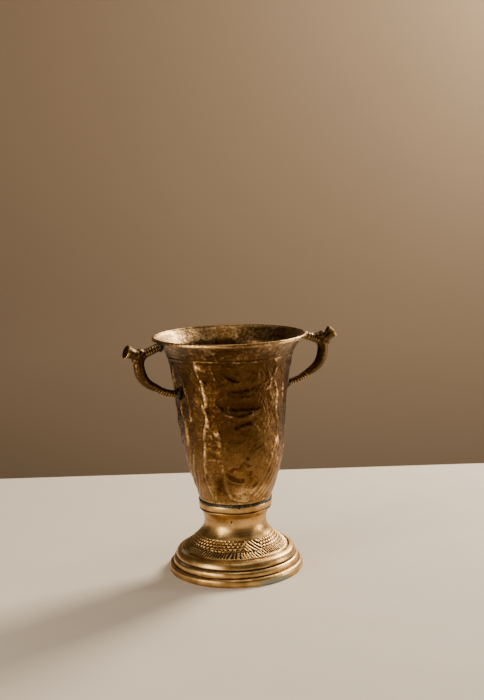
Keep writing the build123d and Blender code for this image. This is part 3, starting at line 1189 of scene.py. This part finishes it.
@dataclass
class Foot:
    """The turned foot: rounded step, engraved cone, waist and collar, hollow underneath."""

    columns: int = 900
    row_step: float = 0.32
    engraved: Point2 = (14.8, 23.6)  # heights between which the cone is engraved
    cone_foot: float = 33.0
    true_radius: float = 29.0  # radius at which the pitches hold
    slope: float = 1.4  # length along the cone for each millimetre of height
    tick_top: float = 18.0
    tick_pitch: float = 1.75
    scale_width: float = 2.9
    scale_rise: float = 1.9
    cut_pitch: float = 2.3
    long_strokes: Point2 = (-106.0, -79.0)  # azimuths between which long slanted cuts cross the scales
    depth: float = 0.55
    socket: float = 20.4
    socket_depth: float = 0.8
    foot_wall: float = 2.2
    crust_azimuth: float = -184.0

    def __post_init__(self) -> None:
        """Read the heights from the CAD frame."""
        low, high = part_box("foot_dome")
        self.bottom = low.z / MM
        self.top = high.z / MM

    def outline(self) -> np.ndarray:
        """Outer line from the lower edge of the rounded step up to the rim of the collar.

        Returns:
            Rows of radius and height.
        """
        rounded = [(37.9, self.bottom), (38.2, 10.1), (37.6, 11.8), (36.3, 13.3), (34.3, 14.2)]
        step = smooth_line(rounded, 0.4)
        groove = np.array([(33.9, 14.15), (33.5, 13.85), (33.15, 14.2)])
        waisted = [
            (32.9, 14.6), (30.4, 17.0), (26.9, 20.0), (23.9, 23.0), (21.4, 26.0), (20.05, 29.0),
            (19.7, 32.0), (20.4, 36.0), (22.2, 39.0),
        ]
        cone = smooth_line(waisted, self.row_step)
        bead = [(22.7, 39.4), (22.85, 39.8), (22.5, 40.2), (22.4, 40.5), (22.8, 40.8), (23.1, 41.3)]
        collar = smooth_line([(23.15, 41.8), (23.25, 43.0), (23.2, self.top - 0.35), (23.0, self.top)], 0.5)
        return np.vstack([step, groove, cone, bead, collar])

    def engraving(self, outline: np.ndarray, turn: np.ndarray) -> np.ndarray:
        """Ticks, scales and long slanted cuts of the graver on the cone.

        Args:
            outline: The outer line.
            turn: Azimuth of each column.

        Returns:
            Depth in millimetres for each row and column, never above zero.
        """
        height = outline[:, 1:2]
        on_cone = outline[:, :1] < self.cone_foot
        low, high = self.engraved
        band = np.clip((height - low) / 0.7, 0, 1) * np.clip((high - height) / 0.8, 0, 1) * on_cone
        run = np.radians(turn)[None, :] * self.true_radius
        hand = 0.35 * np.sin(run * 0.37) + 0.2 * np.sin(run * 1.13 + height * 0.6)
        climb = (height - self.tick_top) * self.slope
        ticked = np.clip((self.tick_top - height) / 0.5, 0, 1)
        lean = 0.55 * np.sin(run / 9.0)
        ticks = (0.5 + 0.5 * np.cos(2 * np.pi * (run + lean * climb + hand) / self.tick_pitch)) ** 1.3
        border = bell(height - self.tick_top, 0.5)
        row = np.floor(climb / self.scale_rise)
        across = (run / self.scale_width + 0.5 * row + 0.2 * hand) % 1.0 - 0.5
        up = (climb / self.scale_rise) % 1.0
        scales = bell(up - 0.8 + 1.9 * across**2, 0.42)
        cuts = (0.5 + 0.5 * np.cos(2 * np.pi * (run * 0.8 + climb * 0.75 + hand) / self.cut_pitch)) ** 1.4
        first, last = self.long_strokes
        crossed = np.clip((turn - first) / 3.0, 0, 1) * np.clip((last - turn) / 3.0, 0, 1)
        drawn = scales * (1 - crossed)[None, :] + cuts * crossed[None, :]
        shape = np.maximum(ticks * ticked + drawn * (1 - ticked), 0.8 * border)
        return -self.depth * shape * band

    def lift(self, outline: np.ndarray, turn: np.ndarray) -> np.ndarray:
        """Everything that breaks the turned surface: engraving, soft dents and a few pits.

        Args:
            outline: The outer line.
            turn: Azimuth of each column.

        Returns:
            Lift in millimetres for each row and column.
        """
        made = 0.1 * grain(lathe(outline, turn.size), 8.0, 2, 5.5) + self.engraving(outline, turn)
        sheet = Developed(turn, outline[:, 1], outline[:, 0])
        pits = (Leaf((-122.0, 34.2), 1.5, 2.6, 10.0, -0.5), Leaf((-84.0, 35.0), 1.2, 1.2, 0.0, -0.3))
        for pit in pits:
            made += pit.lift(sheet)
        return made

    def build(self, finish: bpy.types.Material) -> bpy.types.Object:
        """Make the foot as one closed shell, hollow from below.

        Args:
            finish: The turned brass.

        Returns:
            The foot.
        """
        outline = self.outline()
        turn = azimuths(self.columns)
        lift = self.lift(outline, turn)
        outer = lathe(outline, self.columns, lift)
        seat_height = self.top - self.socket_depth
        roof = seat_height - self.foot_wall
        socket = np.array([(self.socket, self.top), (self.socket, seat_height), (AXIS_HOLE, seat_height)])
        hollow = [(17.5, roof), (17.5, 31.0), (20.9, 22.9), (27.2, 15.6), (32.6, 11.6), (35.8, self.bottom)]
        under = np.vstack([[(AXIS_HOLE, roof)], smooth_line(hollow, 1.2)])
        rings = leaned(np.vstack([lathe(under, self.columns), outer, lathe(socket, self.columns)]))
        start = under.shape[0]
        note = np.zeros(rings.shape[:2])
        # painted shade in the grooves beside the steps, through the relief note
        note[start : start + lift.shape[0]] = lift - 0.5 * self.corner(outline)[:, None]
        foot = Shell("turned_foot", rings, True, {"relief": note, "verdigris": self.crust(rings)}).build()
        seat(foot, "foot_dome", finish)
        return foot

    def corner(self, outline: np.ndarray) -> np.ndarray:
        """How much painted shade each row gets: most in the grooves beside the steps.

        Args:
            outline: The outer line.

        Returns:
            Values from 0 to 1.
        """
        dirt = np.zeros(outline.shape[0])
        for radius, height in ((33.5, 13.9), (22.5, 40.4), (37.9, self.bottom)):
            away = np.hypot(outline[:, 0] - radius, outline[:, 1] - height)
            dirt = np.maximum(dirt, bell(away, 1.3))
        return dirt

    def crust(self, rings: np.ndarray) -> np.ndarray:
        """Where verdigris sits: in the step's corner on the left side.

        Args:
            rings: Points of the shell.

        Returns:
            Values from 0 to 1.
        """
        return 0.75 * bell(apart(rings, self.crust_azimuth), 26.0) * bell(rings[..., 2] - 14.0, 1.6)


@dataclass
class Plinth:
    """The two-step ring under the foot, flat below."""

    columns: int = 420
    step_height: float = 5.0
    upper_radius: float = 40.0
    bore: float = 35.8
    crust_azimuth: float = -80.0
    streak_azimuth: float = -172.0
    dent_depth: float = 0.11
    worn: float = 0.06

    def __post_init__(self) -> None:
        """Read the sizes from the CAD frame."""
        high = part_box("plinth_ring")[1]
        self.radius = high.x / MM
        self.top = high.z / MM

    def profile(self) -> np.ndarray:
        """Closed line round the ring's section, from the foot out and up, then down the bore.

        Returns:
            Rows of radius and height.
        """
        r, s = self.radius, self.step_height
        u, t = self.upper_radius, self.top
        bulged = [(r - 0.7, 0.0), (r - 0.12, 0.5), (r - 0.02, 2.0), (r - 0.3, 3.9), (r - 1.4, s)]
        lower = smooth_line(bulged, 0.35)
        ledge = np.array([(u + 0.3, s - 0.1), (u, s + 0.1)])
        upper = smooth_line([(u, s + 0.5), (u, s + 1.6), (u - 0.35, t - 0.9), (u - 1.4, t)], 0.35)
        bore = [(self.bore, t), (self.bore, 0.5 * t), (self.bore, 0.0)]
        inner = np.array([(38.3, t), (37.9, t), *bore, (39.0, 0.0)])
        return np.vstack([lower, ledge, upper, inner])

    def build(self, finish: bpy.types.Material) -> bpy.types.Object:
        """Make the ring.

        Args:
            finish: The turned brass.

        Returns:
            The ring.
        """
        profile = self.profile()
        outward = np.clip(profile[:, 0] - 37.0, 0, 1) * np.clip(profile[:, 1], 0, 1)
        dents = grain(lathe(profile, self.columns), 6.0, 3, 14.0) * outward[:, None] * self.dent_depth
        rings = lathe(profile, self.columns, dents - self.worn * outward[:, None])
        low_edge = np.clip((4.2 - rings[..., 2]) / 1.4, 0, 1)
        patch = 0.95 * bell(apart(rings, self.crust_azimuth), 42.0) * low_edge
        streak = 0.7 * bell(apart(rings, self.streak_azimuth), 30.0) * bell(rings[..., 2] - self.top, 1.4)
        corner = np.hypot(profile[:, 0] - self.upper_radius, profile[:, 1] - self.step_height)
        # painted shade in the inner corner of the step
        note = dents - 0.6 * bell(corner, 1.1)[:, None]
        attributes = {"relief": note, "verdigris": np.maximum(patch, streak)}
        ring = Shell("plinth_ring_turned", rings, False, attributes).build()
        seat(ring, "plinth_ring", finish)
        return ring


@dataclass
class SolderSeam:
    """A bead of solder run round a joint, uneven as it froze."""

    name: str
    node: str
    radius: float
    inner: float
    bulge: float
    uneven: float
    runs: tuple[Point3, ...] = ()  # azimuth, width and drop of each run
    tallest: float = 1.9  # height of the bead where its CAD solid goes deeper into the joint
    columns: int = 300

    def build(self, finish: bpy.types.Material) -> bpy.types.Object:
        """Make the bead.

        Args:
            finish: The solder.

        Returns:
            The bead.
        """
        low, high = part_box(self.node)
        top = high.z / MM
        bottom = max(low.z / MM, top - self.tallest)
        middle, half = 0.5 * (top + bottom), 0.5 * (top - bottom)
        plain = lathe(np.array([(self.radius, middle)]), self.columns)
        ribbon = grain(plain, 3.0, 3, 30.0 + self.radius)[0]
        turn = np.radians(azimuths(self.columns))
        fall = np.zeros(self.columns)
        for azimuth, width, drop in self.runs:
            fall += drop * bell(apart(plain, azimuth)[0], width)
        rings = []
        for x, z in bend((0.0, 0.0), 1.0, -90, 90, 13):
            out = self.radius + (self.bulge + self.uneven * ribbon + 0.3 * fall) * x
            up = middle + (half + 0.35 * self.uneven * ribbon) * z - np.clip(-z, 0, 1) * fall
            rings.append(np.column_stack([out * np.cos(turn), out * np.sin(turn), up]))
        inside = self.inner * np.column_stack([np.cos(turn), np.sin(turn)])
        for z in (top, bottom):
            rings.append(np.column_stack([inside, np.full(turn.size, z)]))
        bead = Shell(self.name, leaned(np.array(rings)), False).build()
        seat(bead, self.node, finish)
        return bead


@dataclass
class Handle:
    """A cast handle: ribbed arm, thick elbow and a flared spur with a flat end."""

    side: Side
    spur_rise: float
    web: int  # rounds of filling in the corners beside the spur
    fillers: tuple[Point3, ...]  # outward place, height and radius of each fillet's core
    route: tuple[Point2, ...] = ((49.3, 146.1), (62.9, 141.2), (60.8, 127.0), (46.3, 118.1), (37.0, 115.7))
    bends: tuple[float, ...] = (7.0, 14.0, 22.0)
    end_radius: float = 2.1
    elbow_radius: float = 3.4
    elbow_share: float = 0.41
    elbow_spread: float = 0.25
    ribbed_upper: Point2 = (0.02, 0.24)  # shares of the arm between which it is filed
    ribbed_lower: Point2 = (0.66, 0.98)
    rib_pitch: float = 1.75
    rib_depth: float = 0.3
    spur_root: Point2 = (62.0, 142.1)
    spur_length: float = 8.9
    disc_thickness: float = 1.5
    around: int = 60
    voxel: float = 0.2
    web_core: float = 1.9  # the filling is full where this less distance over reach is 1 or more
    web_reach: float = 4.5
    skin_mm: float = 1.5
    skin_depth: float = 0.13
    note_rounds: int = 3  # rounds that even out the noted crests
    note_gain: float = 70.0  # turns a few hundredths of a millimetre to a note near 1

    def centre_line(self) -> np.ndarray:
        """Straight runs joined by tangent arcs, as the CAD arm has.

        Returns:
            Even rows of radius and height.
        """
        made = [np.array(self.route[0])]
        for before, corner, after, radius in zip(self.route, self.route[1:], self.route[2:], self.bends):
            b, c, a = (np.array(p, float) for p in (before, corner, after))
            u, v = (b - c) / np.linalg.norm(b - c), (a - c) / np.linalg.norm(a - c)
            half = 0.5 * math.acos(float(np.clip(u @ v, -1, 1)))
            reach = radius / math.tan(half)
            centre = c + (u + v) / np.linalg.norm(u + v) * radius / math.sin(half)
            first, last = c + u * reach - centre, c + v * reach - centre
            for share in np.linspace(0, 1, 12):
                mixed = first * (1 - share) + last * share
                made.append(centre + mixed / np.linalg.norm(mixed) * radius)
        made.append(np.array(self.route[-1]))
        return resample(np.array(made), 0.22)

    def ribs(self, run: np.ndarray, angle: np.ndarray, total: float) -> np.ndarray:
        """Filed grooves across the upper and lower arm, deepest on top and outside.

        Args:
            run: Distance along the arm.
            angle: Angle round the arm, 0 on the outside of the bend.
            total: Length of the arm.

        Returns:
            Cut depth in millimetres.
        """
        share = run / total
        first, last = self.ribbed_upper
        upper = np.clip((last - share) / 0.04, 0, 1) * np.clip((share - first) / 0.02, 0, 1)
        first, last = self.ribbed_lower
        lower = np.clip((share - first) / 0.05, 0, 1) * np.clip((last - share) / 0.03, 0, 1)
        lean = 0.35 * np.cos(angle + 0.9)
        phase = (run + lean + 0.22 * np.sin(run * 0.9)) / self.rib_pitch
        groove = (0.5 - 0.5 * np.cos(2 * np.pi * phase)) ** 1.8
        return self.rib_depth * groove * (upper + 0.85 * lower) * (0.75 + 0.25 * np.cos(angle))

    def arm(self) -> np.ndarray:
        """Rings of the arm along its centre line.

        Returns:
            Points as rings, columns and coordinates.
        """
        line = self.centre_line()
        along = np.gradient(line, axis=0)
        along /= np.linalg.norm(along, axis=1, keepdims=True)
        run = np.concatenate([[0.0], np.cumsum(np.linalg.norm(np.diff(line, axis=0), axis=1))])
        share = run / run[-1]
        thicker = np.exp(-(((share - self.elbow_share) / self.elbow_spread) ** 2))
        radius = self.end_radius + (self.elbow_radius - self.end_radius) * thicker
        angle = np.linspace(0, 2 * np.pi, self.around, endpoint=False)
        # metal that the file takes off again where the ribs are
        fuller = 0.35 * np.exp(-((share / 0.2) ** 2)) + 0.2 * np.clip((share - 0.6) / 0.2, 0, 1)
        reach = (radius + fuller)[:, None] - self.ribs(run[:, None], angle[None, :], run[-1])
        up, aside = reach * np.cos(angle), reach * np.sin(angle)
        local = np.dstack([line[:, :1] - along[:, 1:] * up, aside * 0.96, line[:, 1:2] + along[:, :1] * up])
        return turned_to(self.side.azimuth, local)

    def spur(self) -> np.ndarray:
        """Rings of the flared spur, from inside the elbow to its flat end.

        Returns:
            Points as rings, columns and coordinates.
        """
        length = self.spur_length
        disc = length - self.disc_thickness
        neck = smooth_line([(3.3, 1.5), (3.25, 3.2), (3.4, 4.8), (3.85, disc - 0.25)], 0.35)
        flange = [
            (3.95, disc - 0.05), (4.2, disc + 0.05), (4.34, disc + 0.3), (4.34, disc + 0.8),
            (4.26, length - 0.25), (4.05, length - 0.03), (3.5, length), (2.2, length - 0.12),
            (1.0, length - 0.2),
        ]
        profile = np.vstack([[(2.2, -1.2), (3.0, 0.5)], neck, flange])
        angle = np.linspace(0, 2 * np.pi, self.around, endpoint=False)
        rise = math.radians(self.spur_rise)
        ring, aside = profile[:, :1] * np.cos(angle), profile[:, :1] * np.sin(angle)
        along = np.repeat(profile[:, 1:2], angle.size, axis=1)
        local = np.dstack([
            self.spur_root[0] + along * math.cos(rise) - ring * math.sin(rise),
            aside,
            self.spur_root[1] + along * math.sin(rise) + ring * math.cos(rise),
        ])
        return turned_to(self.side.azimuth, local)

    def filler(self, out: float, up: float, radius: float) -> np.ndarray:
        """Rings of a rounded core that fills a corner beside the spur.

        Args:
            out: Distance of its middle from the axis.
            up: Height of its middle.
            radius: Its radius.

        Returns:
            Points as rings, columns and coordinates.
        """
        return turned_to(self.side.azimuth, radius * unit_ball(16, 32, 0.15) + np.array([out, 0.0, up]))

    def build(self, finish: bpy.types.Material) -> bpy.types.Object:
        """Cast the arm and the spur in one, with soft inner corners and a sandy skin.

        Args:
            finish: The patinated brass.

        Returns:
            The handle.
        """
        shells = [Shell("arm", self.arm(), True), Shell("spur", self.spur(), True)]
        shells += [Shell("filler", self.filler(*place), True) for place in self.fillers]
        cast = self.fuse([shell.build() for shell in shells])
        self.dress_skin(cast.data)
        seat(cast, f"handle_{self.side.label}", finish)
        return cast

    def fuse(self, parts: list[bpy.types.Object]) -> bpy.types.Object:
        """Melt overlapping closed shells into one skin.

        Args:
            parts: The shells, which are used up.

        Returns:
            The fused piece.
        """
        vertices, faces = [], []
        for part in parts:
            start = len(vertices)
            vertices += [tuple(v.co) for v in part.data.vertices]
            faces += [tuple(start + i for i in p.vertices) for p in part.data.polygons]
        name = f"cast_handle_{self.side.label}"
        mesh = bpy.data.meshes.new(name)
        mesh.from_pydata(vertices, [], faces)
        cast = bpy.data.objects.new(name, mesh)
        bpy.context.scene.collection.objects.link(cast)
        remesh = cast.modifiers.new("skin", "REMESH")
        remesh.mode = "VOXEL"
        remesh.voxel_size = self.voxel * MM
        soften = cast.modifiers.new("soften", "SMOOTH")
        soften.factor = 0.5
        soften.iterations = 2
        solid = bpy.data.meshes.new_from_object(cast.evaluated_get(bpy.context.evaluated_depsgraph_get()))
        cast.modifiers.clear()
        cast.data = solid
        for part in parts:
            bpy.data.objects.remove(part)
        return cast

    def dress_skin(self, mesh: bpy.types.Mesh) -> None:
        """Soften the corners beside the spur, roughen the skin and note its crests and hollows.

        Args:
            mesh: The fused skin, which is changed.
        """
        count = len(mesh.vertices)
        flat, normals = np.zeros(count * 3, np.float32), np.zeros(count * 3, np.float32)
        mesh.vertices.foreach_get("co", flat)
        mesh.vertices.foreach_get("normal", normals)
        points, normals = flat.reshape(-1, 3).astype(float) / MM, normals.reshape(-1, 3).astype(float)
        pairs = np.zeros(len(mesh.edges) * 2, np.int32)
        mesh.edges.foreach_get("vertices", pairs)
        pairs = pairs.reshape(-1, 2)
        root = turned_to(self.side.azimuth, np.array([self.spur_root[0] + 1.0, 0.0, self.spur_root[1]]))
        near = np.clip(self.web_core - np.linalg.norm(points - root, axis=1) / self.web_reach, 0, 1)
        local = pairs[(near > 0)[pairs].any(axis=1)]
        for _ in range(self.web):
            outward = np.clip(((neighbour_mean(points, local) - points) * normals).sum(axis=1), 0, None)
            points += normals * (outward * near)[:, None]
        crest = self.crests(points, normals, pairs)
        points += normals * (self.skin_depth * grain(points, self.skin_mm, 3, 41.0))[:, None]
        mesh.vertices.foreach_set("co", (points * MM).astype(np.float32).reshape(-1))
        mesh.attributes.new("relief", "FLOAT", "POINT").data.foreach_set("value", crest)
        mesh.polygons.foreach_set("use_smooth", [True] * len(mesh.polygons))
        mesh.update()

    def crests(self, points: np.ndarray, normals: np.ndarray, pairs: np.ndarray) -> np.ndarray:
        """How far each point stands over the mean of its neighbours.

        Args:
            points: Points of the skin in millimetres.
            normals: Their normals.
            pairs: Ends of each edge.

        Returns:
            Values of about -1 in grooves to 1 on edges.
        """
        over = ((points - neighbour_mean(points, pairs)) * normals).sum(axis=1, keepdims=True)
        for _ in range(self.note_rounds):
            over = 0.5 * over + 0.5 * neighbour_mean(over, pairs)
        return np.clip(over[:, 0] * self.note_gain - 0.1, -1, 1).astype(np.float32)


@dataclass
class SolderLump:
    """A frozen lump of solder at the end of a handle."""

    side: Side
    end: str
    size: Point3  # half sizes outward, sideways and upward
    centre: Point2  # radius and height
    seed: float
    rows: int = 28
    columns: int = 44
    swelling: float = 0.22

    def build(self, finish: bpy.types.Material) -> bpy.types.Object:
        """Make the lump.

        Args:
            finish: The solder.

        Returns:
            The lump.
        """
        unit = unit_ball(self.rows, self.columns, 0.06)
        swell = 1.0 + self.swelling * grain(unit * 2.2, 1.6, 3, self.seed)[..., None]
        place = np.array([self.centre[0], 0.0, self.centre[1]])
        rings = turned_to(self.side.azimuth, unit * swell * np.array(self.size) + place)
        name = f"{self.side.label}_{self.end}"
        lump = Shell(f"solder_lump_{name}", rings, True).build()
        seat(lump, f"solder_{name}", finish)
        return lump


# ---- Studio ----------------------------------------------------------------------------------


@dataclass(frozen=True)
class Panel:
    """A soft studio light on a stand, aimed at the middle of the vase."""

    name: str
    azimuth: float
    elevation: float
    distance: float  # metres
    width: float
    height: float
    power: float
    tint: str

    def build(self, target: Vector) -> None:
        """Set up the light.

        Args:
            target: The point it is aimed at.
        """
        data = bpy.data.lights.new(self.name, "AREA")
        data.shape = "RECTANGLE"
        data.size, data.size_y = self.width, self.height
        data.energy = self.power
        data.color = linear(self.tint)[:3]
        lamp = bpy.data.objects.new(self.name, data)
        turn, rise = math.radians(self.azimuth), math.radians(self.elevation)
        away = Vector((math.cos(turn) * math.cos(rise), math.sin(turn) * math.cos(rise), math.sin(rise)))
        lamp.location = target + away * self.distance
        lamp.rotation_euler = away.to_track_quat("Z", "Y").to_euler()
        bpy.context.scene.collection.objects.link(lamp)


@dataclass
class Studio:
    """Pale table top, plain wall and soft panels round the vase."""

    floor_colour: str = "#D9CFC0"
    wall_colour: str = "#A08A71"
    air_colour: str = "#6E6152"
    air_strength: float = 0.3
    table_depth: float = 0.235  # metres from the vase to the back edge of the table top
    wall_distance: float = 0.95
    half_width: float = 3.0  # metres to either side that the table top and the wall reach
    front_reach: float = 2.5  # metres that the table top reaches towards the camera
    view_azimuth: float = -114.4
    panels: tuple[Panel, ...] = (
        Panel("sun_side_panel", 20.0, 34.0, 1.3, 0.35, 0.43, 35.0, "#FFF1DD"),
        Panel("right_strip_panel", -22.0, 2.0, 0.7, 0.12, 0.3, 3.0, "#FFF1DD"),
        Panel("left_strip_panel", -170.0, 8.0, 0.6, 0.04, 0.5, 2.4, "#FFF1DD"),
        Panel("left_front_panel", -156.0, 2.0, 0.8, 0.24, 0.4, 3.4, "#FFE9CF"),
        Panel("top_panel", -100.0, 78.0, 1.0, 0.5, 0.5, 2.4, "#FFF1DD"),
    )

    def sheet(self, name: str, corners: Sequence[Vector], colour: str, grain_mm: float) -> None:
        """One flat staged sheet with a plain matt finish.

        Args:
            name: Name of the sheet.
            corners: Its four corners in metres.
            colour: Its colour.
            grain_mm: Size of its faint unevenness.
        """
        mesh = bpy.data.meshes.new(name)
        mesh.from_pydata([tuple(c) for c in corners], [], [(0, 1, 2, 3)])
        made = bpy.data.objects.new(name, mesh)
        bpy.context.scene.collection.objects.link(made)
        book = NodeBook(name)
        where = book.add("ShaderNodeTexCoord", {}, {}, "Object")
        clouded = {"Vector": where, "Scale": per_metre(grain_mm), "Detail": 3.0}
        cloud = book.add("ShaderNodeTexNoise", {}, clouded)
        tone = linear(colour)
        darker = tuple(0.9 * channel for channel in tone[:3]) + (1.0,)
        uneven = {MIX_SHARE: cloud, MIX_LOW: darker, MIX_HIGH: tone}
        base = book.add("ShaderNodeMix", COLOURS, uneven, MIX_OUT)
        shader = book.add("ShaderNodeBsdfPrincipled", {}, {"Base Color": base, "Roughness": 0.9})
        book.add("ShaderNodeOutputMaterial", {}, {"Surface": shader})
        mesh.materials.append(book.material)

    def build(self, target: Vector) -> None:
        """Lay the table top, hang the wall and set up the lights.

        Args:
            target: Middle of the vase.
        """
        turn = math.radians(self.view_azimuth + 180.0)
        away = Vector((math.cos(turn), math.sin(turn), 0.0))
        side = Vector((away.y, -away.x, 0.0)) * self.half_width
        near, back, far = away * -self.front_reach, away * self.table_depth, away * self.wall_distance
        table = (near - side, near + side, back + side, back - side)
        self.sheet("pale_floor", table, self.floor_colour, 40.0)
        down, up = Vector((0, 0, -1.2)), Vector((0, 0, 2.5))
        wall = (far - side + down, far + side + down, far + side + up, far - side + up)
        self.sheet("plain_wall", wall, self.wall_colour, 300.0)
        for panel in self.panels:
            panel.build(target)
        world = bpy.data.worlds.new("dim_room")
        bpy.context.scene.world = world
        world.use_nodes = True
        air = world.node_tree.nodes["Background"]
        air.inputs["Color"].default_value = linear(self.air_colour)
        air.inputs["Strength"].default_value = self.air_strength


@dataclass(frozen=True)
class Viewpoint:
    """Camera on a stand in front of the vase, a little to its left, looking slightly down."""

    place: Point3 = (-280.4, -619.5, 240.4)
    heading: float = 25.0  # degrees from +Y towards +X
    tilt_down: float = 8.44
    roll: float = 1.71
    lens: float = 56.57
    sensor: float = 36.0

    def build(self) -> None:
        """Set up the camera."""
        heading, tilt, roll = (math.radians(v) for v in (self.heading, self.tilt_down, self.roll))
        flat = math.cos(tilt)
        ahead = Vector((math.sin(heading) * flat, math.cos(heading) * flat, -math.sin(tilt)))
        right = Vector((math.cos(heading), -math.sin(heading), 0.0))
        up = right.cross(ahead)
        level, lean = math.cos(roll), math.sin(roll)
        x_axis = right * level - up * lean
        y_axis = up * level + right * lean
        data = bpy.data.cameras.new("viewpoint")
        data.lens, data.sensor_width, data.sensor_fit = self.lens, self.sensor, "AUTO"
        data.clip_start, data.clip_end = 0.01, 20.0
        camera = bpy.data.objects.new("viewpoint", data)
        axes = Matrix((x_axis, y_axis, -ahead)).transposed().to_4x4()
        camera.matrix_world = Matrix.Translation(Vector(self.place) * MM) @ axes
        bpy.context.scene.collection.objects.link(camera)
        bpy.context.scene.camera = camera


@dataclass
class Vase:
    """The whole vase, put together from its soldered pieces."""

    cup_runs: tuple[Point3, ...] = ((-109.0, 5.0, 1.2), (-160.0, 22.0, 0.35))
    plinth_chip: tuple[Point3, ...] = ((-146.0, 2.5, 0.6),)
    left_fillers: tuple[Point3, ...] = ((60.9, 143.9, 2.7), (63.8, 140.2, 2.9))
    right_fillers: tuple[Point3, ...] = ((61.7, 144.9, 3.1), (58.8, 144.5, 2.6), (64.9, 141.8, 3.0))
    lump_sizes: tuple[Point3, Point3] = ((2.5, 3.0, 2.9), (2.3, 3.2, 3.6))  # upper and lower
    lump_places: tuple[Point2, Point2] = ((47.9, 146.3), (36.7, 115.7))

    def build(self) -> None:
        """Build every piece in the order in which the maker would join them."""
        turned = TurnedCastBrass().material()
        beaten = BeatenSheetBrass().material()
        cast = PatinatedCastBrass().material()
        solder = BlackenedSolder().material()
        Plinth().build(turned)
        Foot().build(turned)
        Cup().build(beaten)
        under_cup = SolderSeam(
            "solder_ring_under_cup", "solder_cup_seam",
            radius=22.9, inner=20.4, bulge=0.5, uneven=0.3, runs=self.cup_runs,
        )
        under_cup.build(solder)
        on_plinth = SolderSeam(
            "solder_ring_on_plinth", "solder_plinth_seam",
            radius=38.1, inner=35.9, bulge=0.08, uneven=0.15, runs=self.plinth_chip,
        )
        on_plinth.build(solder)
        left = Handle(Side.LEFT, spur_rise=22.0, web=260, fillers=self.left_fillers)
        right = Handle(Side.RIGHT, spur_rise=36.0, web=420, fillers=self.right_fillers)
        for handle in (left, right):
            handle.build(cast)
            seed = 50.0 + handle.side.azimuth
            for end, size, place in zip(("upper", "lower"), self.lump_sizes, self.lump_places):
                SolderLump(handle.side, end, size, place, seed).build(solder)
                seed += 7


def main() -> None:
    """Build the camera, the vase and the studio, with the studio aimed at the middle of the CAD box."""
    logging.basicConfig(level=logging.INFO, format="%(name)s: %(message)s")
    Viewpoint().build()
    Vase().build()
    low, high = CAD_BOX
    Studio().build((low + high) / 2)


if __name__ == "__main__":
    main()
